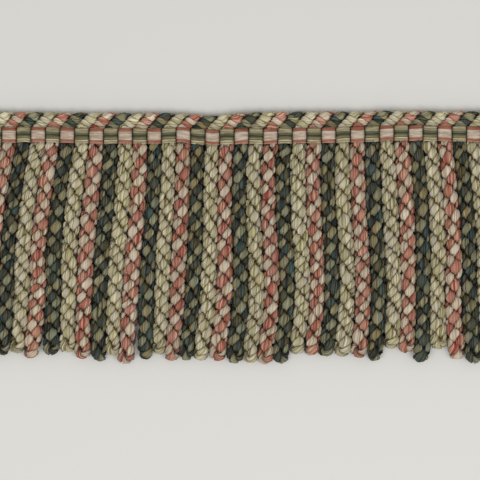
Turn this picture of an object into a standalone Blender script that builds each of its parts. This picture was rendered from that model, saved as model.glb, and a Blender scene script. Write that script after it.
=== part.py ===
"""A cut length of bullion fringe lying face up: twisted ropes hanging from a woven band with a corded crest.

Metres, +Z up. X runs along the heading, +Y points from the rope ends to the crest, and Z = 0 is the surface
it lies on. The origin is the middle of the footprint, on that surface.
"""

import math

import bmesh
import bpy
from mathutils import Matrix, Vector

# The repeat along the heading
PITCH = 0.0092
ROPE_COUNT = 35
LENGTH = ROPE_COUNT * PITCH

# Heights down the face, from the crest's top edge to the longest rope's end
CREST_HEIGHT = 0.0106
BAND_HEIGHT = 0.0098
LONGEST_DROP = 0.1402
TOTAL_HEIGHT = CREST_HEIGHT + BAND_HEIGHT + LONGEST_DROP
FOOT_CORNER_REACH = 0.00016
CREST_TOP = (TOTAL_HEIGHT + FOOT_CORNER_REACH) / 2
BAND_TOP = CREST_TOP - CREST_HEIGHT
BAND_FOOT = BAND_TOP - BAND_HEIGHT

# Clearance between pieces that touch
GAP = 0.0003

# Ropes: two cords laid together, drawn as a flattened four-sided section that turns once in each lay.
# CORD_ANGLE is the angle of a section's corners from the line through its two cords.
ROPE_RADIUS = 0.0045
CORD_ANGLE = math.radians(33)
ROPE_LAY = 0.021
STEPS_PER_LAY = 5
SHOULDER = 0.0015
FOOT_RINGS = ((0.0026, 0.94), (0.0, 0.55))

# Roots: square necks that run up through the band to the strip inside the crest
NECK_RADIUS = 0.0031
NECK_TIP_RADIUS = 0.0015
SQUARE_ANGLE = math.radians(45)
HEADING_MID_Z = 0.0046
STRIP_HALF = 0.0014
STRIP_RISE = 0.0024

# Band: raised blocks over each rope on the face, flat blocks on the back
BAND_CROWN_Z = 0.0084
BLOCK_SHOULDER_Z = 0.0078
FACE_VALLEY_Z = 0.0066
BACK_VALLEY_Z = 0.0008
BLOCK_WIDTH = 0.0084
CROWN_WIDTH = 0.0040

# Crest: slanted cords that loop from the face over the top edge to the back, three ropes along.
# CORD_SECTION goes across one cord: the share of its width, and how far it is sunk, as a share of the groove.
CREST_HALF_THICKNESS = HEADING_MID_Z
CREST_GROOVE = 0.0016
CREST_SHIFT = 3 * PITCH
CORDS_BEFORE = 4
SKIRT = 0.0020
ARC_STEPS = 4
CORD_SECTION = ((0.0, 1.0), (0.22, 0.35), (0.5, 0.0), (0.78, 0.35))

# How far each rope strays sideways and how far it drops below the band, in millimetres:
# mid_lean is at MID_DEPTH, foot_lean is at the rope's end. The ropes fan out towards both cut ends.
MID_DEPTH = 0.0615
ROPE_COLUMNS = ("mid_lean", "foot_lean", "drop")
ROPES_MM = (
    (-9.4, -13.0, 133.0),
    (-9.5, -13.3, 136.0),
    (-9.5, -13.8, 134.4),
    (-8.8, -14.3, 133.3),
    (-8.7, -14.7, 136.6),
    (-8.1, -10.6, 135.2),
    (-6.9, -9.0, 133.0),
    (-5.7, -9.9, 137.5),
    (-5.3, -7.9, 138.8),
    (-4.8, -8.6, 135.2),
    (-3.8, -9.4, 140.2),
    (-3.3, -4.7, 137.5),
    (-3.3, -5.2, 134.1),
    (-2.4, -6.0, 138.1),
    (-1.8, -6.5, 137.8),
    (-1.2, -7.0, 137.8),
    (-0.7, -5.2, 138.1),
    (-0.2, -3.1, 139.8),
    (0.4, -2.2, 140.1),
    (0.8, -2.8, 140.2),
    (0.9, -1.5, 139.8),
    (2.1, -0.9, 134.3),
    (1.9, -1.5, 134.9),
    (2.1, -1.2, 135.2),
    (2.6, -0.3, 135.2),
    (3.1, 1.5, 136.2),
    (2.9, 1.6, 138.5),
    (4.0, 3.4, 131.0),
    (3.9, 3.0, 133.3),
    (4.4, 3.5, 139.1),
    (4.5, 6.0, 131.0),
    (5.5, 7.7, 136.6),
    (5.6, 9.2, 140.1),
    (6.4, 10.4, 134.5),
    (7.4, 13.5, 136.3),
)

MM = 0.001

ROPE_COLOUR = (0.42, 0.36, 0.24)
BAND_COLOUR = (0.46, 0.33, 0.25)
CREST_COLOUR = (0.36, 0.31, 0.21)


def clear_scene():
    for obj in list(bpy.data.objects):
        bpy.data.objects.remove(obj)


def new_collection(name):
    collection = bpy.data.collections.new(name)
    bpy.context.scene.collection.children.link(collection)
    return collection


def yarn_material(name, colour, roughness):
    material = bpy.data.materials.new(name)
    material.use_nodes = True
    shader = material.node_tree.nodes["Principled BSDF"]
    shader.inputs["Base Color"].default_value = (*colour, 1.0)
    shader.inputs["Roughness"].default_value = roughness
    shader.inputs["Metallic"].default_value = 0.0
    return material


def new_object(name, body, collection):
    """Makes a mesh object from a bmesh, with its faces turned outwards, and frees the bmesh."""
    bmesh.ops.recalc_face_normals(body, faces=body.faces)
    mesh = bpy.data.meshes.new(name)
    body.to_mesh(mesh)
    body.free()
    obj = bpy.data.objects.new(name, mesh)
    collection.objects.link(obj)
    return obj


def box(body, low, high):
    """Adds a box between two corners to a bmesh."""
    low, high = Vector(low), Vector(high)
    place = Matrix.Translation((low + high) / 2) @ Matrix.Diagonal((high - low).to_4d())
    bmesh.ops.create_cube(body, size=1.0, matrix=place)


def loft(body, rings):
    """Adds a capped skin over rings of points. Its quads are split to suit rings that turn clockwise."""
    rows = [[body.verts.new(point) for point in ring] for ring in rings]
    for upper, lower in zip(rows, rows[1:]):
        for i in range(len(upper)):
            j = (i + 1) % len(upper)
            body.faces.new((upper[i], upper[j], lower[j]))
            body.faces.new((upper[i], lower[j], lower[i]))
    body.faces.new(rows[0])
    body.faces.new(rows[-1][::-1])


def boolean(obj, cutter, operation):
    """Applies a Boolean with the cutter to obj, and removes the cutter."""
    modifier = obj.modifiers.new(operation.title(), "BOOLEAN")
    modifier.operation = operation
    modifier.object = cutter
    bpy.context.view_layer.update()
    graph = bpy.context.evaluated_depsgraph_get()
    result = bpy.data.meshes.new_from_object(obj.evaluated_get(graph))
    obj.modifiers.clear()
    obj.data = result
    bpy.data.objects.remove(cutter)


def finish(obj, material, collection):
    """Gives a finished piece its material and moves it to the object's own collection."""
    obj.data.materials.clear()
    obj.data.materials.append(material)
    for holder in list(obj.users_collection):
        holder.objects.unlink(obj)
    collection.objects.link(obj)


def head_x(index):
    """The middle of a rope where it leaves the band."""
    return (index - (ROPE_COUNT - 1) / 2) * PITCH


# Ropes

def lean_curve(mid_lean, foot_lean, drop):
    """The two factors of the parabola that a rope strays along, through its head, mid point and foot."""
    to_mid = mid_lean / MID_DEPTH
    to_foot = foot_lean / drop
    bend = (to_foot - to_mid) / (drop - MID_DEPTH)
    return to_mid - bend * MID_DEPTH, bend


def section(centre, slope, radius, tilt, corner_angle):
    """A four-cornered section across a rope that runs down the face at this sideways slope."""
    side = Vector((1.0, slope, 0.0)).normalized()
    up = Vector((0.0, 0.0, 1.0))
    other = tilt + math.radians(180)
    angles = (tilt - corner_angle, tilt + corner_angle, other - corner_angle, other + corner_angle)
    return [centre + side * radius * math.cos(a) + up * radius * math.sin(a) for a in angles]


def rope_rings(index):
    """Neck, shoulder, turning body and rounded foot of one rope, from its root down."""
    row = dict(zip(ROPE_COLUMNS, ROPES_MM[index]))
    drop = row["drop"] * MM
    slope, bend = lean_curve(row["mid_lean"] * MM, row["foot_lean"] * MM, drop)
    x = head_x(index)

    rings = []
    root = (BAND_TOP + STRIP_RISE, NECK_TIP_RADIUS)
    neck_top = (BAND_TOP - GAP, NECK_TIP_RADIUS)
    neck_foot = (BAND_FOOT - GAP, NECK_RADIUS)
    for y, radius in (root, neck_top, neck_foot):
        rings.append(section(Vector((x, y, HEADING_MID_Z)), 0.0, radius, 0.0, SQUARE_ANGLE))

    # Every other rope starts on its other corner and half a step lower, so that no two meet corner to corner
    odd = index % 2
    quarter = math.radians(90)
    first_depth = SHOULDER + odd * ROPE_LAY / STEPS_PER_LAY / 2
    first_tilt = quarter + CORD_ANGLE if odd else quarter - CORD_ANGLE
    turn = math.radians(360) / STEPS_PER_LAY
    body_end = drop - FOOT_RINGS[0][0]
    steps = round((body_end - first_depth) / ROPE_LAY * STEPS_PER_LAY)
    step = (body_end - first_depth) / steps

    def body_ring(depth, factor):
        tilt = first_tilt - turn * (depth - first_depth) / step
        centre = Vector((x + (slope + bend * depth) * depth, BAND_FOOT - depth, ROPE_RADIUS))
        return section(centre, slope + 2 * bend * depth, ROPE_RADIUS * factor, tilt, CORD_ANGLE)

    for number in range(steps):
        rings.append(body_ring(first_depth + number * step, 1.0))
    for before_end, factor in FOOT_RINGS:
        rings.append(body_ring(drop - before_end, factor))
    return rings


def build_ropes(collection, tools, material):
    strands = bmesh.new()
    for index in range(ROPE_COUNT):
        loft(strands, rope_rings(index))
    root_strip = bmesh.new()
    ends = LENGTH / 2 - GAP
    low = (-ends, BAND_TOP + STRIP_RISE - STRIP_HALF, HEADING_MID_Z - STRIP_HALF)
    high = (ends, BAND_TOP + STRIP_RISE + STRIP_HALF, HEADING_MID_Z + STRIP_HALF)
    box(root_strip, low, high)
    ropes = new_object("bullion_ropes", root_strip, tools)
    boolean(ropes, new_object("strands", strands, tools), "UNION")
    finish(ropes, material, collection)


# Woven band

def band_outline():
    """The band's section along X: arched blocks over each rope on the face, flat blocks on the back."""
    face = []
    back = []
    for index in range(ROPE_COUNT):
        x = head_x(index)
        face.append((x - PITCH / 2, FACE_VALLEY_Z))
        face.append((x - BLOCK_WIDTH / 2, BLOCK_SHOULDER_Z))
        face.append((x - CROWN_WIDTH / 2, BAND_CROWN_Z))
        face.append((x + CROWN_WIDTH / 2, BAND_CROWN_Z))
        face.append((x + BLOCK_WIDTH / 2, BLOCK_SHOULDER_Z))
        back.append((x - PITCH / 2, BACK_VALLEY_Z))
        back.append((x - BLOCK_WIDTH / 2, 0.0))
        back.append((x + BLOCK_WIDTH / 2, 0.0))
    face.append((LENGTH / 2, FACE_VALLEY_Z))
    back.append((LENGTH / 2, BACK_VALLEY_Z))
    return back + face[::-1]


def build_band(collection, tools, material):
    body = bmesh.new()
    foot = body.faces.new([body.verts.new((x, BAND_FOOT, z)) for x, z in band_outline()])
    copied = bmesh.ops.extrude_face_region(body, geom=[foot], use_keep_orig=True)["geom"]
    top = [item for item in copied if isinstance(item, bmesh.types.BMVert)]
    bmesh.ops.translate(body, vec=(0.0, BAND_HEIGHT, 0.0), verts=top)
    band = new_object("heading_band", body, tools)

    tunnels = bmesh.new()
    room = NECK_RADIUS * math.cos(SQUARE_ANGLE) + GAP
    for index in range(ROPE_COUNT):
        x = head_x(index)
        low = (x - room, BAND_FOOT - PITCH, HEADING_MID_Z - room)
        high = (x + room, BAND_TOP + PITCH, HEADING_MID_Z + room)
        box(tunnels, low, high)
    boolean(band, new_object("tunnels", tunnels, tools), "DIFFERENCE")
    finish(band, material, collection)


# Corded crest

def crest_ring(x, groove):
    """One line round the crest along its cords, sunk by groove, from the face over the top to the back.

    It starts and ends in a skirt below the crest, which is trimmed off.
    """
    half = CREST_HALF_THICKNESS - groove
    skirt_foot = BAND_TOP - SKIRT
    skirt_top = BAND_TOP - SKIRT / 2
    round_from = CREST_TOP - CREST_HALF_THICKNESS
    run = round_from - skirt_top
    arc = math.pi * CREST_HALF_THICKNESS
    whole = 2 * run + arc
    points = [(0.0, skirt_foot, SKIRT), (0.0, skirt_top, half)]
    for step in range(ARC_STEPS + 1):
        share = step / ARC_STEPS
        angle = math.radians(90 - 180 * share)
        points.append((run + arc * share, round_from + half * math.cos(angle), half * math.sin(angle)))
    points += [(whole, skirt_top, -half), (whole, skirt_foot, -SKIRT)]
    return [Vector((x + CREST_SHIFT * gone / whole, y, HEADING_MID_Z + z)) for gone, y, z in points]


def build_crest(collection, tools, material):
    body = bmesh.new()
    rings = []
    for index in range(-CORDS_BEFORE, ROPE_COUNT + 1):
        for share, depth in CORD_SECTION:
            rings.append(crest_ring(head_x(index) + (share - 0.5) * PITCH, depth * CREST_GROOVE))
    loft(body, rings)
    crest = new_object("crest_cords", body, tools)

    trim = bmesh.new()
    beyond = 2 * PITCH
    box(trim, (-LENGTH / 2, BAND_TOP + GAP, -beyond), (LENGTH / 2, CREST_TOP + beyond, beyond))
    boolean(crest, new_object("trim", trim, tools), "INTERSECT")

    slot = bmesh.new()
    room = STRIP_HALF + GAP
    low = (-LENGTH, BAND_TOP - beyond, HEADING_MID_Z - room)
    high = (LENGTH, BAND_TOP + STRIP_RISE + room, HEADING_MID_Z + room)
    box(slot, low, high)
    boolean(crest, new_object("slot", slot, tools), "DIFFERENCE")
    finish(crest, material, collection)


def main():
    clear_scene()
    parts = new_collection("Bullion fringe")
    tools = new_collection("Cutters")
    build_ropes(parts, tools, yarn_material("rope yarn", ROPE_COLOUR, 0.7))
    build_band(parts, tools, yarn_material("band threads", BAND_COLOUR, 0.6))
    build_crest(parts, tools, yarn_material("crest yarn", CREST_COLOUR, 0.7))


main()
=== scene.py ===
"""The looks of a cut length of bullion fringe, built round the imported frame.

Metres and radians, +Z up. +X runs along the heading, +Y from the ropes' feet to the crest, and Z = 0 is the
surface it lies on. Every rope, crest cord and band thread is a tube swept along its own path.
"""

import math

import bpy
import numpy as np
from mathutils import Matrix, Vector

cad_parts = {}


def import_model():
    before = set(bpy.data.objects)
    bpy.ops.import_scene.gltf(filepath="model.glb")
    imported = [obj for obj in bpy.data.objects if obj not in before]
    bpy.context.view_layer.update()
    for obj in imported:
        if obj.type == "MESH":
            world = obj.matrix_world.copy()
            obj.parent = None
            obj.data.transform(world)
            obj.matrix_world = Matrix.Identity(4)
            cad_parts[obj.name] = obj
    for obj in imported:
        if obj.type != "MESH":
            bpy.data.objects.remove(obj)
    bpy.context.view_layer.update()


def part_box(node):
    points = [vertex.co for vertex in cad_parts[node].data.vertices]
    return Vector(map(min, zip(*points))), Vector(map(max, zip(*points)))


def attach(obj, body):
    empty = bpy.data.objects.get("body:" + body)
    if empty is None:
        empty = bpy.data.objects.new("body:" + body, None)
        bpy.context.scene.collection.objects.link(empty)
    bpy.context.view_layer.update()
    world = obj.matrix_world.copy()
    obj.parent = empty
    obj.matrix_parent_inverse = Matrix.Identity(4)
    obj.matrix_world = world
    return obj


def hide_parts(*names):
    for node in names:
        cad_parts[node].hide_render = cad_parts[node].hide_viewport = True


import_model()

SEED = 7
MM = 0.001
CENTIMETRE = 0.01
FULL_TURN = 2 * math.pi
QUAD = 4

# Sizes that the frame's solids share
PITCH = 0.0092
ROPE_COUNT = 35
LENGTH = ROPE_COUNT * PITCH
BAND_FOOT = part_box("heading_band")[0][1]
BAND_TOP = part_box("heading_band")[1][1]
CREST_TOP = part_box("crest_cords")[1][1]
HEADING_MID_Z = 0.0046
# Nothing lies lower than this
LEAST_Z = 0.00002

# A strand's section, in half thicknesses of its cord: a full D, whose flat side lies on the other strand.
# The D's middle and its half depth add up to 1, and its edge is the angle where the flat side starts.
STRAND_COLUMNS = ("middle", "depth", "edge")
ROPE_STRAND = (0.40, 0.60, math.radians(128.6))
CREST_STRAND = (0.36, 0.64, math.radians(120.8))
# The D's half width, and the power that makes it a little boxy
STRAND_WIDE = 0.96
STRAND_FULLNESS = 0.88
# Where the section's points stand, from the D's crown to its edge, and how near the crown its shade reaches
STRAND_PLACES = (0.0, 0.24, 0.47, 0.68, 0.87, 1.0)
STRAND_SHADE_PLACE = 0.40
# How much faster the strands turn where the groove between them faces out, as a share
KNUCKLE = 0.55
# Radians that the fibres go round a cord for each metre along it
FIBRE_SLOPE = 370.0

# Ropes: a cord of two strands, folded at the foot and laid together with itself.
# A lay is one turn of the two cords along the rope, and a strand turn is one of the strands along the cord.
ROPE_MID_Z = 0.00465
LAYS = {"ecru": 0.0243, "rose": 0.0230, "green": 0.0236}
LAY_RANGE = (0.96, 1.04)
ROPE_STRAND_TURN = 0.0080
CORD_PATH_RADIUS = 0.00228
CORD_HALF = 0.0029
# A cord's section is multiplied by these, away from the rope's middle and across
CORD_PRESS = (0.90, 1.18)
ROPE_OUTER_RADIUS = CORD_PATH_RADIUS + CORD_HALF * CORD_PRESS[0]
# Above the foot no point of a cord comes nearer to the rope's middle, on the line through both cords
LEAST_RADIUS = 0.00003
# How far along the cord a point moves for each metre squared that it is out and across
ROPE_SKEW = -50.0
# How much thicker a strand is where it faces out, as a share, and the range of the strands' brightness
BEAD_BULGE = 0.15
TONES = (0.93, 1.07)
# The spacing of points along the rope's middle, and of rings along the cord
CENTRE_STEP = 0.0003
ROPE_STEP = 0.0009
# How far the roots go up from the band's foot
ROOT_RISE = 0.0075

# Seeded strays along a cord, each a wavelength and an amount: its angle round the rope, the rope's middle,
# the strands' turn, and the strands' thickness, as a share
ANGLE_STRAY = (0.024, 0.22)
MIDDLE_STRAY = (0.022, 0.00016)
TURN_STRAY = (0.011, 0.58)
SIZE_STRAY = (0.006, 0.08)
# The depth below the band by which the middle's stray is full
MIDDLE_STRAY_FULL_AT = 0.01

# Necks: from NECK_FROM below the band's foot a rope swells. It has its full height by NECK_TO and its full
# width by NECK_WIDE_TO. In the band these are multiplied by NECK_HIGH and NECK_WIDE.
NECK_FROM = -0.0001
NECK_TO = 0.0004
NECK_WIDE_TO = 0.0022
NECK_HIGH = 0.60
NECK_WIDE = 0.86
# The band's painted shade on the ropes, and the depth that it reaches
NECK_SHADE = 0.10
NECK_SHADE_TO = 0.0014

# Ropes side by side: each side is made narrower or wider to suit its room, within these limits, and its
# beads press a little past it. A side with no neighbour reaches to FREE_REACH.
LEAST_WIDTH = 0.85
MOST_WIDTH = 1.04
FREE_WIDTH = 1.05
FREE_REACH = ROPE_OUTER_RADIUS * FREE_WIDTH
LOBES_PRESS = {"ecru": 0.99, "rose": 1.0, "green": 0.96}
MOST_PRESS = 1.07
# Over these depths from the end of the rope beside, a rope has room again
NEIGHBOUR_END = (-0.002, 0.003)
# How much higher or lower a colouring's ropes lie
LIFTS = {"ecru": 0.00025, "rose": 0.0003, "green": -0.0003}
# Ropes lie a little flat, and their lower half spreads by SAG, as a share
ROPE_FLATNESS = 0.93
SAG = 0.20
SAG_FULL_AT = 0.004

# Feet: near its fold the cord turns slower, its distance from the middle changes by a factor in FOOT_LOOP,
# the fold is turned by an angle in FOOT_TILT, and the cord's inner side isn't dark
FOOT_LOOP = (0.90, 1.12)
FOOT_LENGTH = 0.007
FOOT_TILT = (-1.2, 1.2)
FOOT_SLOWING = 0.85
FOOT_SLOWS_FROM = 0.004
FOOT_POINTS = 26
FOOT_SHADE = (0.0075, 0.0045)

# Painted shade on ropes: close to the rope beside, up to a height over their middle, and near their own
# middle.
# GROOVE_SHADE is what is left of the light in the groove between strands.
NEAR_SHADE = (0.35, 0.75)
NEAR_SHADE_HEIGHT = 0.0018
ROPE_REACH_SHADE = (0.0026, 0.0041)
GROOVE_SHADE = 0.66

# Crest cords: each goes up the face, over the top and down the back, and CREST_SHIFT along the heading.
# CREST_CORDS_BEFORE of them start before the first rope.
CREST_CORDS_BEFORE = 3
CREST_SHIFT = 1.9 * PITCH
CREST_CORD_HALF = 0.00262
CREST_PRESS = (1.0, 1.30)
CREST_SKEW = -90.0
CREST_BULGE = 0.05
CREST_STRAND_TURN = 0.0072
CREST_TURN_STRAY = (0.01, 0.2)
CREST_SIZE_STRAY = (0.006, 0.03)
CREST_PATH_POINTS = 40
CREST_STEP = 0.0006
# How far the cords go down into the band, and how far inside the length's ends they are cut.
# A cord that keeps fewer rings than the least is left out.
CREST_ROOT = 0.0018
CREST_END_GAP = 0.0005
CREST_LEAST_RINGS = 6
# The power that squares the turn over the top: 1 is round
CREST_SQUARENESS = 0.6
# Crest strands are brighter than the ropes': a painted sheen, as their fibres lie across the light. Its
# range
CREST_SHEEN_TONES = (1.17, 1.31)
CREST_NECK_FROM = -0.0006
CREST_NECK_TO = 0.0007
# Painted shade on crest cords: just above the band, on their inner side, near their middle and between
# strands
CREST_SHADE_TO = 0.0045
CREST_FOOT_SHADE = 0.45
CREST_INNER_SHADE = (0.0011, -0.0002)
CREST_OUTER_LIGHT = (-0.0004, 0.0012)
CREST_REACH_SHADE = (0.0010, 0.0027)
CREST_GROOVE_SHADE = 0.90

# Band threads: two sets of rows. Each set arches over every other rope and crosses the other between them.
THREAD_ROWS = 13
THREAD_SIDES = 8
THREAD_THICKNESS = 0.00052
FACE_THREAD_Z = 0.0079
BACK_THREAD_Z = 0.0004
THREAD_CROSS_Z = 0.0042
NECK_MID_Z = (FACE_THREAD_Z + BACK_THREAD_Z) / 2
VALLEY_WIDTH = 0.0006
ARCH_POWER = 3.4
ARCH_POINTS = 11
# Seeded strays of a row, of an arch's height, and of a whole block's tilt and bow
ROW_STRAY = 0.00002
ARCH_STRAY = 0.00004
BLOCK_TILT = 0.00016
BLOCK_BOW = 0.00020
# Down in the crossing a thread gets narrower and moves aside, as shares of a row, and darkens with painted
# shade
CROSSING = (0.35, 0.9)
CROSSING_NARROWS = 0.25
CROSSING_SHIFT = 0.25
CROSSING_SHADE = (0.8, 0.1)
# The rows at the band's edges are darker: painted shade beside the crest and the ropes' heads
EDGE_ROW_SHADES = {0: 0.70, 1: 0.81, THREAD_ROWS - 1: 0.88}

# The heading isn't quite straight: how far the band and the crest's top rise along it, in millimetres
RISE_COLUMNS = ("along", "band", "top")
RISE_MM = (
    (-161, 0.3, -0.4),
    (-120, 0.4, -1.0),
    (-92, -0.3, -1.2),
    (-55, -0.2, -1.2),
    (-37, 0.2, -1.5),
    (-18, -1.1, -3.2),
    (0, -0.4, -1.0),
    (18, -0.5, -0.7),
    (37, 0.0, -0.4),
    (55, 0.1, -0.5),
    (74, 0.7, -0.5),
    (92, 1.5, 0.2),
    (110, 1.8, 0.0),
    (129, 1.2, -0.3),
    (161, 0.9, -0.3),
)
RISE_FADES_BY = 0.07

# How far each rope strays sideways and how far it drops below the band, in millimetres, as in the solids:
# mid_lean is at MID_DEPTH, foot_lean is at the rope's end
MID_DEPTH = 0.0615
ROPE_COLUMNS = ("mid_lean", "foot_lean", "drop")
ROPES_MM = (
    (-9.4, -13.0, 133.0),
    (-9.5, -13.3, 136.0),
    (-9.5, -13.8, 134.4),
    (-8.8, -14.3, 133.3),
    (-8.7, -14.7, 136.6),
    (-8.1, -10.6, 135.2),
    (-6.9, -9.0, 133.0),
    (-5.7, -9.9, 137.5),
    (-5.3, -7.9, 138.8),
    (-4.8, -8.6, 135.2),
    (-3.8, -9.4, 140.2),
    (-3.3, -4.7, 137.5),
    (-3.3, -5.2, 134.1),
    (-2.4, -6.0, 138.1),
    (-1.8, -6.5, 137.8),
    (-1.2, -7.0, 137.8),
    (-0.7, -5.2, 138.1),
    (-0.2, -3.1, 139.8),
    (0.4, -2.2, 140.1),
    (0.8, -2.8, 140.2),
    (0.9, -1.5, 139.8),
    (2.1, -0.9, 134.3),
    (1.9, -1.5, 134.9),
    (2.1, -1.2, 135.2),
    (2.6, -0.3, 135.2),
    (3.1, 1.5, 136.2),
    (2.9, 1.6, 138.5),
    (4.0, 3.4, 131.0),
    (3.9, 3.0, 133.3),
    (4.4, 3.5, 139.1),
    (4.5, 6.0, 131.0),
    (5.5, 7.7, 136.6),
    (5.6, 9.2, 140.1),
    (6.4, 10.4, 134.5),
    (7.4, 13.5, 136.3),
)

# The ropes aren't quite parabolas: how far they stray further, at two depths and at their feet, in
# millimetres. Ropes between two that are given are blended.
UPPER_DEPTHS = (0.0, 0.014, 0.044, 0.075)
LOWER_DEPTHS = (0.075, 0.090, 0.112, 0.135)
FOOT_DEPTHS = (0.108, 0.130)
STRAY_COLUMNS = ("rope", "upper", "lower", "foot")
STRAY_MM = (
    (0, -0.3, 0.6, 0.3),
    (3, -0.4, 1.8, 0.4),
    (4, -0.4, 2.3, 0.4),
    (6, -0.4, 0.7, 0.3),
    (8, 0.8, 0.2, 0.7),
    (11, 1.1, -0.2, -0.6),
    (13, 0.4, 0.0, -1.3),
    (16, -1.5, 0.3, -1.2),
    (20, -2.3, 0.7, -1.5),
    (25, -1.6, 0.4, -0.3),
    (28, 0.1, 0.6, -0.6),
    (31, 0.4, -2.0, 0.2),
    (34, 0.0, -0.8, 0.0),
)

random = np.random.default_rng(SEED)


def linear(red, green, blue):
    """A colour given as it looks on screen, 0 to 255, as the linear values that shaders take."""
    def channel(value):
        value /= 255
        return value / 12.92 if value <= 0.04045 else ((value + 0.055) / 1.055) ** 2.4
    return (channel(red), channel(green), channel(blue), 1.0)


def unit(vectors):
    """Rows of vectors, each made 1 long."""
    return vectors / np.linalg.norm(vectors, axis=1, keepdims=True)


def smooth(edge0, edge1, values):
    """0 up to edge0 and 1 from edge1 on, with a soft step between. Either edge may be the larger."""
    t = np.clip((values - edge0) / (edge1 - edge0), 0, 1)
    return t * t * (3 - 2 * t)


def lengths_along(path):
    """How far along a path each of its points is."""
    steps = np.linalg.norm(np.diff(path, axis=0), axis=1)
    return np.concatenate([[0.0], np.cumsum(steps)])


def resample(values, along, step):
    """Values given at distances along a path, read again at even steps."""
    count = max(int(round(along[-1] / step)), 2)
    even = np.linspace(0.0, along[-1], count + 1)
    return np.stack([np.interp(even, along, column) for column in values.T], axis=1), even


def by_name(names, table):
    """A table's columns, each under its name."""
    return {name: np.array(column) for name, column in zip(names, zip(*table))}


def sway(rings):
    """Raises and lowers the heading along its length, and not at all the ropes' feet."""
    rises = by_name(RISE_COLUMNS, RISE_MM)
    x, y = rings[:, :, 0], rings[:, :, 1]
    below = smooth(0.0, RISE_FADES_BY, BAND_FOOT - y)
    above = np.clip((y - BAND_TOP) / (CREST_TOP - BAND_TOP), 0, 1)
    band_rise = np.interp(x, rises["along"] * MM, rises["band"] * MM)
    top_rise = np.interp(x, rises["along"] * MM, rises["top"] * MM)
    rings[:, :, 1] += (band_rise + (top_rise - band_rise) * above) * (1 - below)


# Meshes from swept tubes

def section_rings(path, normal, tangent, x, y, skew=0.0):
    """Rings of points, x along the normal and y across it, round a path.

    skew is how far along the path a point moves for each metre squared that it is out and across.
    """
    across = unit(np.cross(tangent, normal))
    forward = skew * x * y
    rings = path[:, None, :] + x[:, :, None] * normal[:, None, :]
    rings += y[:, :, None] * across[:, None, :]
    rings += forward[:, :, None] * tangent[:, None, :]
    return rings


def fuller(values):
    """Turns the sines and cosines of a circle into those of a slightly boxy one."""
    return np.sign(values) * np.abs(values) ** STRAND_FULLNESS


def strand_section(turn, size, press, strand):
    """A strand's D-shaped section, turned about the middle of its cord, which is pressed a little flat.

    It gives back each point's x and y, its angle round the cord, and how clear it is of the groove between
    the strands, 0 to 1.
    """
    half = np.array(STRAND_PLACES)
    places = np.concatenate([-half[:0:-1], half])
    shape = dict(zip(STRAND_COLUMNS, strand))
    theta = places * shape["edge"]
    in_line = size[:, None] * (shape["middle"] + shape["depth"] * fuller(np.cos(theta)))[None, :]
    across = size[:, None] * (STRAND_WIDE * fuller(np.sin(theta)))[None, :]
    cos_turn, sin_turn = np.cos(turn)[:, None], np.sin(turn)[:, None]
    x = (in_line * cos_turn - across * sin_turn) * press[0]
    y = (in_line * sin_turn + across * cos_turn) * press[1]
    angle = turn[:, None] + np.arctan2(across, in_line)
    return x, y, angle, smooth(1.0, STRAND_SHADE_PLACE, np.abs(places))


def fibre_turns(angle, along):
    """A value, in turns, that stays the same along each fibre.

    Fibres go round the cord slower than its strands. The last column repeats the one before it.
    """
    turns = (angle - FIBRE_SLOPE * along[:, None]) / FULL_TURN
    return np.concatenate([turns, turns[:, -1:]], axis=1)


def knuckled(turn):
    """Turns a cord's strands faster where the groove between them faces out, so that beads lie square."""
    return turn - KNUCKLE / 2 * np.sin(2 * turn)


def wander(along, wavelength, amount):
    """A smooth seeded stray along a path."""
    place = along / wavelength
    values = random.normal(0, amount, int(place[-1]) + 3)
    low = place.astype(int)
    share = smooth(0, 1, place - low)
    return values[low] * (1 - share) + values[low + 1] * share


def tube_faces(tube, base):
    """Point numbers, corner counts and UVs of a tube's quads and two caps. Its points start at base."""
    count, sides = tube["rings"].shape[:2]
    along = tube["along"]
    turns = tube["round"]
    i = np.arange(count - 1)[:, None]
    j = np.arange(sides)[None, :]
    k = (j + 1) % sides
    corners = (i * sides + j, i * sides + k, (i + 1) * sides + k, (i + 1) * sides + j)
    quads = np.stack([np.broadcast_to(base + corner, (count - 1, sides)) for corner in corners], axis=2)
    v0 = np.broadcast_to(along[:-1, None], (count - 1, sides))
    v1 = np.broadcast_to(along[1:, None], (count - 1, sides))
    quad_uvs = np.stack([
        turns[:-1, :-1], v0,
        turns[:-1, 1:], v0,
        turns[1:, 1:], v1,
        turns[1:, :-1], v1,
    ], axis=2)
    first = base + np.arange(sides)[::-1]
    last = base + (count - 1) * sides + np.arange(sides)
    first_uvs = np.stack([turns[0, :-1][::-1], np.full(sides, along[0])], axis=1)
    last_uvs = np.stack([turns[-1, :-1], np.full(sides, along[-1])], axis=1)
    loops = np.concatenate([quads.reshape(-1), first, last])
    totals = np.concatenate([np.full((count - 1) * sides, QUAD), [sides, sides]])
    return loops, totals, np.concatenate([quad_uvs.reshape(-1, 2), first_uvs, last_uvs])


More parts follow.
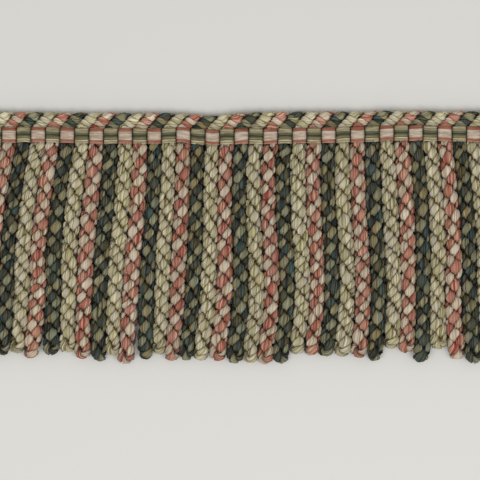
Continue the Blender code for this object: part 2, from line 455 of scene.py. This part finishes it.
def tube_mesh(name, tubes, materials):
    """One mesh of capped tubes. A tube is a dict of rings, along, round, slot, and values for its points.

    Its UVs are its round values, in turns, and the centimetres along it.
    """
    points, loops, totals, uvs, slots = [], [], [], [], []
    values = {label: [] for label in tubes[0]["values"]}
    base = 0
    for tube in tubes:
        count, sides = tube["rings"].shape[:2]
        tube_loops, tube_totals, tube_uvs = tube_faces(tube, base)
        points.append(tube["rings"].reshape(-1, 3))
        loops.append(tube_loops)
        totals.append(tube_totals)
        uvs.append(tube_uvs)
        slots.append(np.full(len(tube_totals), tube["slot"]))
        for label, value in tube["values"].items():
            values[label].append(np.broadcast_to(value, (count, sides)).reshape(-1))
        base += count * sides
    points = np.concatenate(points)
    loops = np.concatenate(loops)
    totals = np.concatenate(totals)
    starts = np.concatenate([[0], np.cumsum(totals)[:-1]])
    mesh = bpy.data.meshes.new(name)
    mesh.vertices.add(len(points))
    mesh.vertices.foreach_set("co", points.astype(np.float32).ravel())
    mesh.loops.add(len(loops))
    mesh.loops.foreach_set("vertex_index", loops.astype(np.int32))
    mesh.polygons.add(len(totals))
    mesh.polygons.foreach_set("loop_start", starts.astype(np.int32))
    mesh.polygons.foreach_set("material_index", np.concatenate(slots).astype(np.int32))
    mesh.polygons.foreach_set("use_smooth", totals == QUAD)
    layer = mesh.uv_layers.new(name="UVMap")
    layer.data.foreach_set("uv", (np.concatenate(uvs) / [1.0, CENTIMETRE]).astype(np.float32).ravel())
    for label, parts in values.items():
        attribute = mesh.attributes.new(label, "FLOAT", "POINT")
        attribute.data.foreach_set("value", np.concatenate(parts).astype(np.float32))
    mesh.update(calc_edges=True)
    mesh.validate()
    for material in materials:
        mesh.materials.append(material)
    obj = bpy.data.objects.new(name, mesh)
    bpy.context.scene.collection.objects.link(obj)
    return obj


# Materials

class Nodes:
    """A short way to make and link shader nodes."""

    def __init__(self, name):
        self.material = bpy.data.materials.new(name)
        self.material.use_nodes = True
        self.tree = self.material.node_tree
        self.shader = self.tree.nodes["Principled BSDF"]

    def add(self, kind, **settings):
        node = self.tree.nodes.new(kind)
        for key, value in settings.items():
            setattr(node, key, value)
        return node

    def put(self, socket, value):
        if isinstance(value, bpy.types.NodeSocket):
            self.tree.links.new(value, socket)
        else:
            socket.default_value = value

    def math(self, operation, first, second=0.0, third=0.0):
        node = self.add("ShaderNodeMath", operation=operation)
        for socket, value in zip(node.inputs, (first, second, third)):
            self.put(socket, value)
        return node.outputs[0]

    def mix(self, factor, first, second, blend="MIX"):
        node = self.add("ShaderNodeMix", data_type="RGBA", blend_type=blend)
        self.put(node.inputs["Factor"], factor)
        colours = [socket for socket in node.inputs if socket.type == "RGBA"]
        self.put(colours[0], first)
        self.put(colours[1], second)
        return [socket for socket in node.outputs if socket.type == "RGBA"][0]

    def span(self, value, low, high, to_low=0.0, to_high=1.0):
        node = self.add("ShaderNodeMapRange", clamp=True)
        for socket, setting in zip(node.inputs, (value, low, high, to_low, to_high)):
            self.put(socket, setting)
        return node.outputs[0]

    def noise(self, vector, detail=1.0):
        node = self.add("ShaderNodeTexNoise", noise_dimensions="3D")
        self.put(node.inputs["Vector"], vector)
        self.put(node.inputs["Scale"], 1.0)
        self.put(node.inputs["Detail"], detail)
        self.put(node.inputs["Roughness"], 0.5)
        return node.outputs["Fac"]

    def attribute(self, name):
        return self.add("ShaderNodeAttribute", attribute_name=name).outputs["Fac"]

    def paint(self, colour, value):
        """The shader's colour: a colour multiplied by a brightness."""
        grey = self.add("ShaderNodeCombineColor")
        for socket in grey.inputs:
            self.put(socket, value)
        self.put(self.shader.inputs["Base Color"], self.mix(1.0, colour, grey.outputs[0], "MULTIPLY"))

    def bump(self, height, strength, distance):
        node = self.add("ShaderNodeBump")
        self.put(node.inputs["Height"], height)
        self.put(node.inputs["Strength"], strength)
        self.put(node.inputs["Distance"], distance)
        self.put(self.shader.inputs["Normal"], node.outputs[0])


# Yarn: noise is read on a circle round the strand, which moves on by a stretch for each centimetre along,
# and by a shift from line to line
LINE_RADIUS = 3.7
LINE_STRETCH = 0.22
LINE_SHIFT = 11.3
FINE_RADIUS = 6.5
FINE_STRETCH = 0.5
FINE_SHIFT = 71.0
# Each strand reads the noise elsewhere: its tone times this
TONE_SHIFT = 260.0
# A line shows where noise passes an edge, which is lower the more the line covers, and soft on both sides
LINE_EDGE = 0.66
LINE_EDGE_FALL = 0.28
LINE_BELOW = 0.06
LINE_ABOVE = 0.07
# Fine singles: the range of noise, and the brightness at its ends
FINE_NOISE = (0.32, 0.68)
FINE_VALUES = (0.80, 1.22)
# Brightness in the full painted shade of a gap, and the power that deepens a groove's painted shade
GAP_VALUE = 0.20
SHADE_POWER = 1.35


def yarn_material(name, main, shade_tint, lines):
    """Soft spun yarn of many fine singles in mixed tones.

    The third argument is what the colours are multiplied by in full painted shade, down in the grooves and
    valleys. Each line is a colour, and how much of the strand it covers, 0 to 1.
    """
    n = Nodes(name)
    uv = n.add("ShaderNodeTexCoord").outputs["UV"]
    parts = n.add("ShaderNodeSeparateXYZ")
    n.put(parts.inputs[0], uv)
    tone = n.attribute("tone")
    along = parts.outputs["Y"]
    angle = n.math("MULTIPLY", parts.outputs["X"], FULL_TURN)

    def round_strand(radius, stretch, offset):
        """A place for noise that meets itself round the strand."""
        vector = n.add("ShaderNodeCombineXYZ")
        shift = n.math("MULTIPLY_ADD", tone, TONE_SHIFT, offset)
        n.put(vector.inputs[0], n.math("MULTIPLY", n.math("COSINE", angle), radius))
        n.put(vector.inputs[1], n.math("MULTIPLY", n.math("SINE", angle), radius))
        n.put(vector.inputs[2], n.math("MULTIPLY_ADD", along, stretch, shift))
        return vector.outputs[0]

    colour = main
    for number, (line, cover) in enumerate(lines):
        field = n.noise(round_strand(LINE_RADIUS, LINE_STRETCH, LINE_SHIFT * number))
        edge = LINE_EDGE - LINE_EDGE_FALL * cover
        colour = n.mix(n.span(field, edge - LINE_BELOW, edge + LINE_ABOVE), colour, line)
    fine = n.noise(round_strand(FINE_RADIUS, FINE_STRETCH, FINE_SHIFT))
    value = n.span(fine, *FINE_NOISE, *FINE_VALUES)
    # Each strand's tone; on the crest cords it also holds a painted sheen that makes them brighter
    value = n.math("MULTIPLY", value, tone)
    # Painted shade between ropes, between crest cords and beside the band
    value = n.math("MULTIPLY", value, n.span(n.attribute("gap_shade"), 0.0, 1.0, 1.0, GAP_VALUE))
    # Painted shade in grooves and valleys: the colours go towards their shade tint
    lit = n.math("POWER", n.attribute("shade"), SHADE_POWER)
    colour = n.mix(lit, n.mix(1.0, colour, (*shade_tint, 1.0), "MULTIPLY"), colour)
    n.paint(colour, value)
    n.bump(fine, strength=0.6, distance=0.0003)
    n.shader.inputs["Roughness"].default_value = 0.6
    n.shader.inputs["Specular IOR Level"].default_value = 0.2
    n.shader.inputs["Sheen Weight"].default_value = 0.05
    n.shader.inputs["Sheen Roughness"].default_value = 0.45
    return n.material


# Each yarn: its main colour, what it is multiplied by in full painted shade, and its lines
ECRU = yarn_material("yarn_ecru", linear(182, 173, 142), (0.37, 0.31, 0.21), (
    (linear(207, 198, 169), 0.50),
    (linear(182, 174, 166), 0.38),
    (linear(160, 153, 103), 0.38),
    (linear(112, 104, 64), 0.18),
))
CREAM = yarn_material("yarn_cream", linear(190, 175, 151), (0.33, 0.25, 0.19), (
    (linear(206, 193, 173), 0.50),
    (linear(178, 160, 142), 0.38),
    (linear(144, 120, 90), 0.26),
))
ROSE = yarn_material("yarn_rose", linear(158, 107, 86), (0.26, 0.15, 0.11), (
    (linear(197, 158, 129), 0.44),
    (linear(170, 129, 118), 0.38),
    (linear(139, 59, 46), 0.39),
))
GREEN = yarn_material("yarn_green", linear(55, 60, 48), (0.11, 0.11, 0.09), (
    (linear(58, 86, 92), 0.42),
    (linear(92, 80, 48), 0.38),
    (linear(24, 28, 25), 0.42),
))
SAGE = yarn_material("yarn_sage", linear(124, 121, 92), (0.15, 0.13, 0.09), (
    (linear(152, 146, 118), 0.42),
    (linear(108, 122, 110), 0.40),
    (linear(134, 110, 62), 0.30),
    (linear(64, 62, 38), 0.24),
))

COLOURINGS = {
    "ecru": (ECRU, ECRU),
    "rose": (ROSE, CREAM),
    "green": (GREEN, SAGE),
}
COLOURING_ORDER = tuple(COLOURINGS)


def colouring_of(index):
    """The ropes and crest cords repeat the colourings by turns."""
    return COLOURING_ORDER[index % len(COLOURING_ORDER)]


def head_x(index):
    """The middle of a rope where it leaves the band."""
    return (index - (ROPE_COUNT - 1) / 2) * PITCH


# Ropes

def lean_curve(index):
    """The two factors of the parabola that a rope strays along, and its drop."""
    row = dict(zip(ROPE_COLUMNS, ROPES_MM[index]))
    drop = row["drop"] * MM
    to_mid = row["mid_lean"] * MM / MID_DEPTH
    to_foot = row["foot_lean"] * MM / drop
    bend = (to_foot - to_mid) / (drop - MID_DEPTH)
    return to_mid - bend * MID_DEPTH, bend, drop


def hump(depths, values):
    """Rises from 0 to 1 between the first two depths and falls back between the last two."""
    return smooth(depths[0], depths[1], values) * smooth(depths[3], depths[2], values)


def rope_x(index, depth):
    """The middle of a rope at this depth below the band. Above the band's foot the rope is straight."""
    slope, bend, drop = lean_curve(index)
    depth = np.maximum(depth, 0.0)
    strays = by_name(STRAY_COLUMNS, STRAY_MM)
    stray = np.interp(index, strays["rope"], strays["upper"]) * MM * hump(UPPER_DEPTHS, depth)
    stray += np.interp(index, strays["rope"], strays["lower"]) * MM * hump(LOWER_DEPTHS, depth)
    stray += np.interp(index, strays["rope"], strays["foot"]) * MM * smooth(*FOOT_DEPTHS, depth)
    return head_x(index) + (slope + bend * depth) * depth + stray


def rope_cord(index, lay):
    """The folded cord's path and its outward side.

    It goes down one side of the rope, round the foot and up the other.
    """
    slope, bend, drop = lean_curve(index)
    foot = drop - CORD_PATH_RADIUS * FOOT_LOOP[1] - CORD_HALF
    depth = np.arange(-ROOT_RISE, foot, CENTRE_STEP)
    travel = depth - depth[0]
    rate = 1 - FOOT_SLOWING * smooth(foot - FOOT_SLOWS_FROM, foot, depth)
    turned = np.concatenate([[0.0], np.cumsum((rate[1:] + rate[:-1]) / 2 * np.diff(depth))])
    at_foot = random.choice([0.0, math.pi]) + random.uniform(*FOOT_TILT)
    angle = at_foot + FULL_TURN * (turned[-1] - turned) / lay + wander(travel, *ANGLE_STRAY)
    wider = (random.uniform(*FOOT_LOOP) - 1) * smooth(foot - FOOT_LENGTH, foot, depth)
    radius = CORD_PATH_RADIUS * (1 + wider)
    stray = wander(travel, *MIDDLE_STRAY) * smooth(0.0, MIDDLE_STRAY_FULL_AT, depth)
    middle = rope_x(index, depth) + stray
    centre = np.stack([middle, BAND_FOOT - depth, np.full_like(depth, ROPE_MID_Z)], axis=1)
    sideways = slope + 2 * bend * np.maximum(depth, 0.0)
    side = unit(np.stack([np.ones_like(depth), sideways, np.zeros_like(depth)], axis=1))
    up = np.array([0.0, 0.0, 1.0])

    def cord(angles):
        outward = np.cos(angles)[:, None] * side + np.sin(angles)[:, None] * up
        return centre + outward * radius[:, None], outward

    down_path, down_out = cord(angle)
    up_path, up_out = cord(angle + math.pi)
    swing = np.linspace(0, math.pi, FOOT_POINTS)[1:-1]
    onward = unit(np.array([[sideways[-1], -1.0, 0.0]]))[0]
    loop_out = np.cos(swing)[:, None] * down_out[-1] + np.sin(swing)[:, None] * onward
    loop_path = centre[-1] + loop_out * radius[-1]
    path = np.concatenate([down_path, loop_path, up_path[::-1]])
    out = np.concatenate([down_out, loop_out, up_out[::-1]])
    return path, out


def room_beside(index, depth, other):
    """How far a rope may reach sideways at each depth, which is half way to the rope beside it."""
    if not 0 <= other < ROPE_COUNT:
        return np.full_like(depth, FREE_REACH)
    half_gap = np.abs(rope_x(other, depth) - rope_x(index, depth)) / 2
    drop = lean_curve(other)[2]
    past = smooth(drop + NEIGHBOUR_END[0], drop + NEIGHBOUR_END[1], depth)
    return half_gap * (1 - past) + FREE_REACH * past


def settle(index, rings):
    """Squeezes a rope through the band, fits it between its neighbours and lays it on the surface.

    Gives back how close each point comes to the rope beside it, 0 to 1.
    """
    depth = BAND_FOOT - rings[:, :, 1]
    out = smooth(NECK_FROM, NECK_TO, depth)
    middle = rope_x(index, depth)
    height = (rings[:, :, 2] - ROPE_MID_Z) * ROPE_FLATNESS
    lifted = height * (NECK_HIGH + (1 - NECK_HIGH) * out) + NECK_MID_Z
    lifted += (ROPE_MID_Z - NECK_MID_Z) * out
    lifted += LIFTS[colouring_of(index)] * out
    across = rings[:, :, 0] - middle
    across *= NECK_WIDE + (1 - NECK_WIDE) * smooth(NECK_FROM, NECK_WIDE_TO, depth)
    across *= 1 + SAG * out * smooth(0.0, SAG_FULL_AT, -height)
    nearness = np.zeros_like(across)
    press = LOBES_PRESS[colouring_of(index)]
    for side in (-1, 1):
        room = room_beside(index, depth, index + side)
        factor = np.clip(room / ROPE_OUTER_RADIUS * press, LEAST_WIDTH, MOST_WIDTH)
        reach = np.minimum(np.abs(across) * factor, room * MOST_PRESS)
        on_side = across * side > 0
        across = np.where(on_side, side * reach, across)
        nearness = np.where(on_side & (room != FREE_REACH), reach / room, nearness)
    rings[:, :, 0] = middle + across
    rings[:, :, 2] = np.maximum(lifted, LEAST_Z)
    return nearness


def rope_tubes(index):
    """The two strands of one rope."""
    lay = LAYS[colouring_of(index)] * random.uniform(*LAY_RANGE)
    path, out = rope_cord(index, lay)
    data, even = resample(np.concatenate([path, out], axis=1), lengths_along(path), ROPE_STEP)
    path, out = data[:, :3], data[:, 3:]
    tangent = unit(np.gradient(path, axis=0))
    out = unit(out - tangent * np.sum(out * tangent, axis=1, keepdims=True))
    turns = random.uniform(0, FULL_TURN) + FULL_TURN * even / ROPE_STRAND_TURN + wander(even, *TURN_STRAY)
    tubes = []
    for slot in (0, 1):
        turn = knuckled(turns + slot * math.pi)
        size = CORD_HALF * (1 + BEAD_BULGE * np.cos(turn)) * (1 + wander(even, *SIZE_STRAY))
        x, y, angle, clear = strand_section(turn, size, CORD_PRESS, ROPE_STRAND)
        x = np.maximum(x, LEAST_RADIUS - CORD_PATH_RADIUS)
        rings = section_rings(path, out, tangent, x, y, ROPE_SKEW)
        depth = BAND_FOOT - rings[:, :, 1]
        height = rings[:, :, 2] - ROPE_MID_Z
        reach = np.hypot(rings[:, :, 0] - rope_x(index, depth), height)
        nearness = settle(index, rings)
        sway(rings)
        # Painted shade: low on the sides where the rope beside comes close, and just below the band
        gap_shade = smooth(*NEAR_SHADE, nearness) * smooth(NEAR_SHADE_HEIGHT, 0.0, height)
        gap_shade = np.maximum(gap_shade, NECK_SHADE * smooth(NECK_SHADE_TO, NECK_FROM, depth))
        at_foot = smooth(*FOOT_SHADE, lean_curve(index)[2] - depth)
        # Painted shade in the valleys between cords and the grooves between strands, none near the foot
        shade = np.maximum(smooth(*ROPE_REACH_SHADE, reach), at_foot)
        shade *= GROOVE_SHADE + (1 - GROOVE_SHADE) * clear
        values = {"shade": shade, "gap_shade": gap_shade, "tone": random.uniform(*TONES)}
        tubes.append({"rings": rings, "along": even, "round": fibre_turns(angle, even), "slot": slot,
                      "values": values})
    return tubes


# Crest cords

def crest_path():
    """One crest cord's line seen from the heading's end, from the face to the back, and its outward side.

    Both are rows of y and z. The turn over the top is squared.
    """
    radius = HEADING_MID_Z - CREST_CORD_HALF
    round_from = CREST_TOP - CREST_CORD_HALF - radius
    rise = np.linspace(BAND_TOP - CREST_ROOT, round_from, CREST_PATH_POINTS)[:-1]
    swing = np.linspace(math.pi / 2, -math.pi / 2, CREST_PATH_POINTS)
    face = np.stack([rise, np.full_like(rise, HEADING_MID_Z + radius)], axis=1)
    turned = np.stack([np.cos(swing), np.sin(swing)], axis=1)
    over = [round_from, HEADING_MID_Z] + radius * np.sign(turned) * np.abs(turned) ** CREST_SQUARENESS
    over_out = unit(np.sign(turned) * np.abs(turned) ** (2 - CREST_SQUARENESS))
    back = np.stack([rise[::-1], np.full_like(rise, HEADING_MID_Z - radius)], axis=1)
    out = np.concatenate([
        np.tile([0.0, 1.0], (len(rise), 1)),
        over_out,
        np.tile([0.0, -1.0], (len(rise), 1)),
    ])
    return np.concatenate([face, over, back]), out


def crest_tubes(index):
    """The two strands of one crest cord, cut off at the ends of the length."""
    line, out = crest_path()
    along = lengths_along(line)
    share = np.clip((along - CREST_ROOT) / (along[-1] - 2 * CREST_ROOT), 0, 1)
    x = head_x(index) + CREST_SHIFT * share
    path = np.stack([x, line[:, 0], line[:, 1]], axis=1)
    outward = np.stack([np.zeros_like(x), out[:, 0], out[:, 1]], axis=1)
    data, even = resample(np.concatenate([path, outward], axis=1), lengths_along(path), CREST_STEP)
    turns = random.uniform(0, FULL_TURN) + FULL_TURN * even / CREST_STRAND_TURN
    turns += wander(even, *CREST_TURN_STRAY)
    # Each strand's brightness, raised above the ropes' by painted sheen
    sheen_tones = random.uniform(*CREST_SHEEN_TONES, 2)
    sizes = wander(even, *CREST_SIZE_STRAY)
    keep = np.abs(data[:, 0]) <= LENGTH / 2 - CREST_END_GAP
    if np.count_nonzero(keep) < CREST_LEAST_RINGS:
        return []
    data, even, turns, sizes = data[keep], even[keep], turns[keep], sizes[keep]
    path, outward = data[:, :3], data[:, 3:]
    tangent = unit(np.gradient(path, axis=0))
    outward = unit(outward - tangent * np.sum(outward * tangent, axis=1, keepdims=True))
    tubes = []
    for slot in (0, 1):
        turn = knuckled(turns + slot * math.pi)
        size = CREST_CORD_HALF * (1 + CREST_BULGE * np.cos(turn)) * (1 + sizes)
        x, y, angle, clear = strand_section(turn, size, CREST_PRESS, CREST_STRAND)
        rings = section_rings(path, outward, tangent, x, y, CREST_SKEW)
        above = rings[:, :, 1] - BAND_TOP
        # Painted shade: just above the band, on the inner side between cords, near the middle and in strand
        # grooves
        at_band = CREST_FOOT_SHADE * smooth(CREST_SHADE_TO, 0.0, above)
        gap_shade = np.maximum(smooth(*CREST_INNER_SHADE, x), at_band)
        shade = smooth(*CREST_REACH_SHADE, np.hypot(x, y)) * smooth(*CREST_OUTER_LIGHT, x)
        shade *= CREST_GROOVE_SHADE + (1 - CREST_GROOVE_SHADE) * clear
        out_of_band = smooth(CREST_NECK_FROM, CREST_NECK_TO, above)
        mid_z = NECK_MID_Z + (HEADING_MID_Z - NECK_MID_Z) * out_of_band
        height = (rings[:, :, 2] - HEADING_MID_Z) * (NECK_HIGH + (1 - NECK_HIGH) * out_of_band)
        rings[:, :, 2] = np.maximum(mid_z + height, LEAST_Z)
        sway(rings)
        values = {"shade": shade, "gap_shade": gap_shade, "tone": sheen_tones[slot]}
        tubes.append({"rings": rings, "along": even, "round": fibre_turns(angle, even), "slot": slot,
                      "values": values})
    return tubes


# Band threads

BAND_PINK = linear(168, 112, 94)
BAND_CREAM = linear(200, 187, 171)
BAND_PALE_PINK = linear(190, 148, 132)
BAND_ECRU = linear(160, 152, 117)
BAND_LIGHT = linear(196, 188, 160)
BAND_SAGE = linear(158, 156, 130)
BAND_OCHRE = linear(115, 106, 67)
BAND_OLIVE = linear(101, 95, 62)
BAND_TEAL = linear(94, 100, 83)
BAND_DARK = linear(58, 64, 58)
BAND_TAN = linear(135, 132, 102)

# From the top down, the colour of each thread and how many lie side by side
PINK_ROWS = ((BAND_PINK, 3), (BAND_CREAM, 7), (BAND_PINK, 2), (BAND_PALE_PINK, 1))
OLIVE_ROWS = (
    (BAND_ECRU, 1),
    (BAND_LIGHT, 1),
    (BAND_ECRU, 1),
    (BAND_SAGE, 1),
    (BAND_OCHRE, 1),
    (BAND_TEAL, 1),
    (BAND_DARK, 1),
    (BAND_OLIVE, 1),
    (BAND_TAN, 1),
    (BAND_OCHRE, 1),
    (BAND_LIGHT, 1),
    (BAND_ECRU, 1),
    (BAND_LIGHT, 1),
)

# Thread: twist lines go round this many times and advance by this many radians for each centimetre
TWIST_LINES = 2
TWIST_RATE = 90.0
TWIST_VALUES = (0.90, 1.06)
# Patches: each thread reads the noise elsewhere, and moves on in it by the stretch for each centimetre
PATCH_SHIFT = 50.0
PATCH_STRETCH = 1.2
PATCH_NOISE = (0.3, 0.7)
PATCH_VALUES = (1.20, 0.84)
PATCH_TINT = (0.88, 0.80, 0.70, 1.0)
PATCH_TINT_NOISE = (0.42, 0.60)
# Brightness of a thread in full painted shade
THREAD_DARKEST = 0.04


def thread_material(name):
    """Fine smooth thread in the colour of its row, with twist lines and patches of other brightness."""
    n = Nodes(name)
    uv = n.add("ShaderNodeTexCoord").outputs["UV"]
    parts = n.add("ShaderNodeSeparateXYZ")
    n.put(parts.inputs[0], uv)
    row = n.add("ShaderNodeAttribute", attribute_name="row_colour").outputs["Color"]
    turn = n.math("MULTIPLY", parts.outputs["X"], FULL_TURN * TWIST_LINES)
    twist = n.math("SINE", n.math("MULTIPLY_ADD", parts.outputs["Y"], TWIST_RATE, turn))
    vector = n.add("ShaderNodeCombineXYZ")
    n.put(vector.inputs[0], n.math("MULTIPLY", n.attribute("tone"), PATCH_SHIFT))
    n.put(vector.inputs[1], n.math("MULTIPLY", parts.outputs["Y"], PATCH_STRETCH))
    patch = n.noise(vector.outputs[0], detail=2.0)
    tinted = n.mix(1.0, row, PATCH_TINT, "MULTIPLY")
    colour = n.mix(n.span(patch, *PATCH_TINT_NOISE), row, tinted)
    value = n.span(patch, *PATCH_NOISE, *PATCH_VALUES)
    value = n.math("MULTIPLY", value, n.span(twist, -1.0, 1.0, *TWIST_VALUES))
    # Painted shade: darker down in the crossings between blocks and in the band's edge rows
    value = n.math("MULTIPLY", value, n.span(n.attribute("shade"), 0.0, 1.0, THREAD_DARKEST, 1.0))
    n.paint(colour, value)
    n.bump(twist, strength=0.4, distance=0.0001)
    n.shader.inputs["Roughness"].default_value = 0.5
    n.shader.inputs["Specular IOR Level"].default_value = 0.25
    n.shader.inputs["Sheen Weight"].default_value = 0.05
    return n.material


def row_colours(rows):
    """The colour of every row of threads."""
    return [colour for colour, count in rows for _ in range(count)]


def arch():
    """One arch of a thread over a rope: its points' places across, and how far each has risen, 0 to 1."""
    swing = np.linspace(math.pi, 0, ARCH_POINTS)
    power = 2 / ARCH_POWER
    across = np.sign(np.cos(swing)) * np.abs(np.cos(swing)) ** power * (PITCH - VALLEY_WIDTH) / 2
    return across, np.sin(swing).clip(0) ** power


def thread_path(row, odd_in_front, tilts, bows):
    """One thread's line along the heading, and how far it is down in the crossings, 0 to 1."""
    spacing = (BAND_TOP - BAND_FOOT) / THREAD_ROWS
    across, rise = arch()
    y = BAND_TOP - (row + 0.5) * spacing + random.normal(0, ROW_STRAY)
    path = []
    crossing = []
    for index in range(ROPE_COUNT):
        in_front = (index % 2 == 1) == odd_in_front
        top = FACE_THREAD_Z + random.normal(0, ARCH_STRAY) if in_front else BACK_THREAD_Z
        for share, height in zip(across, rise):
            place = share / (PITCH / 2)
            stray = tilts[index] * place + bows[index] * (1 - place ** 2)
            z = THREAD_CROSS_Z + (top - THREAD_CROSS_Z) * height
            path.append((head_x(index) + share, y + stray, z))
            crossing.append(1 - height)
    path = np.array(path)
    crossing = smooth(*CROSSING, np.array(crossing))
    lean = 1 if odd_in_front else -1
    path[:, 1] += lean * spacing * CROSSING_SHIFT * crossing
    return path, crossing


def thread_tubes(odd_in_front):
    """One set of threads. Each passes in front of every other rope and behind the ones between."""
    colours = row_colours(PINK_ROWS if odd_in_front else OLIVE_ROWS)
    spacing = (BAND_TOP - BAND_FOOT) / THREAD_ROWS
    theta = np.arange(THREAD_SIDES) * FULL_TURN / THREAD_SIDES
    tilts = random.normal(0, BLOCK_TILT, ROPE_COUNT)
    bows = random.normal(0, BLOCK_BOW, ROPE_COUNT)
    tubes = []
    for row, colour in enumerate(colours):
        path, crossing = thread_path(row, odd_in_front, tilts, bows)
        count = len(path)
        tangent = unit(np.gradient(path, axis=0))
        side = np.tile([0.0, 1.0, 0.0], (count, 1))
        half_width = spacing * (0.5 - CROSSING_NARROWS * crossing)
        x = half_width[:, None] * np.cos(theta)[None, :]
        y = np.tile(THREAD_THICKNESS / 2 * np.sin(theta), (count, 1))
        rings = section_rings(path, side, tangent, x, y)
        rings[:, :, 2] = np.maximum(rings[:, :, 2], LEAST_Z)
        sway(rings)
        shade = smooth(*CROSSING_SHADE, crossing) * EDGE_ROW_SHADES.get(row, 1.0)
        turns = np.tile(np.arange(THREAD_SIDES + 1) / THREAD_SIDES, (count, 1))
        values = {"shade": shade[:, None], "tone": random.uniform(0, 1)}
        tubes.append({"rings": rings, "along": lengths_along(path), "round": turns, "slot": 0,
                      "values": values, "colour": colour})
    return tubes


def band(name, odd_in_front, material):
    """One set of threads as a mesh, with each thread's colour on its points."""
    tubes = thread_tubes(odd_in_front)
    obj = tube_mesh(name, tubes, [material])
    attribute = obj.data.attributes.new("row_colour", "FLOAT_COLOR", "POINT")
    colours = [np.tile(tube["colour"], (tube["rings"][:, :, 0].size, 1)) for tube in tubes]
    attribute.data.foreach_set("color", np.concatenate(colours).astype(np.float32).ravel())
    return obj


# The object

for colouring, yarns in COLOURINGS.items():
    ropes = [rope_tubes(index) for index in range(ROPE_COUNT) if colouring_of(index) == colouring]
    piece = tube_mesh(f"ropes_{colouring}", [tube for rope in ropes for tube in rope], yarns)
    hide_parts("bullion_ropes")
    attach(piece, "root")

for colouring, yarns in COLOURINGS.items():
    indices = range(-CREST_CORDS_BEFORE, ROPE_COUNT)
    cords = [crest_tubes(index) for index in indices if colouring_of(index) == colouring]
    piece = tube_mesh(f"crest_{colouring}", [tube for cord in cords for tube in cord], yarns)
    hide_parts("crest_cords")
    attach(piece, "root")

threads = thread_material("band_threads")
for name, odd_in_front in (("band_pink", True), ("band_olive", False)):
    piece = band(name, odd_in_front, threads)
    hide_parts("heading_band")
    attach(piece, "root")


# Floor, light and camera

FLOOR_COLOUR = linear(219, 218, 214)
FLOOR_SIZE = 6.0
FLOOR_Z = -0.0001
SKY_COLOUR = (1.0, 0.99, 0.97, 1.0)
SKY_STRENGTH = 0.54
LAMP_SIZE = 0.8
LAMP_COLUMNS = ("name", "location", "power")
LAMPS = (
    ("right", (0.55, -0.42, 1.3), 6.5),
    ("left", (-0.52, -0.42, 1.3), 5.15),
)
# The camera looks straight down, and VIEW_WIDTH is what it sees at the ropes' middle
VIEW_WIDTH = 0.3043
VIEW_CENTRE = (-0.0009, -0.0013)
CAMERA_HEIGHT = 1.5
SENSOR_MM = 36.0


def floor():
    n = Nodes("paper")
    n.shader.inputs["Base Color"].default_value = FLOOR_COLOUR
    n.shader.inputs["Roughness"].default_value = 0.9
    bpy.ops.mesh.primitive_plane_add(size=FLOOR_SIZE, location=(0, 0, FLOOR_Z))
    plane = bpy.context.object
    plane.name = "floor"
    plane.data.materials.append(n.material)


def area_light(name, location, power):
    """A round lamp that points at the middle of the part."""
    data = bpy.data.lights.new(name, "AREA")
    data.shape = "DISK"
    data.size = LAMP_SIZE
    data.energy = power
    light = bpy.data.objects.new(name, data)
    light.location = location
    light.rotation_euler = (-Vector(location)).to_track_quat("-Z", "Y").to_euler()
    bpy.context.scene.collection.objects.link(light)


def world():
    """Even light from all round."""
    sky = bpy.data.worlds.new("studio")
    sky.use_nodes = True
    background = sky.node_tree.nodes["Background"]
    background.inputs["Color"].default_value = SKY_COLOUR
    background.inputs["Strength"].default_value = SKY_STRENGTH
    bpy.context.scene.world = sky


def camera():
    data = bpy.data.cameras.new("camera")
    data.sensor_width = SENSOR_MM
    data.lens = SENSOR_MM * (CAMERA_HEIGHT - ROPE_MID_Z) / VIEW_WIDTH
    obj = bpy.data.objects.new("camera", data)
    obj.location = (*VIEW_CENTRE, CAMERA_HEIGHT)
    bpy.context.scene.collection.objects.link(obj)
    bpy.context.scene.camera = obj


floor()
world()
for lamp in LAMPS:
    area_light(**dict(zip(LAMP_COLUMNS, lamp)))
camera()
bpy.context.scene.view_settings.view_transform = "Standard"
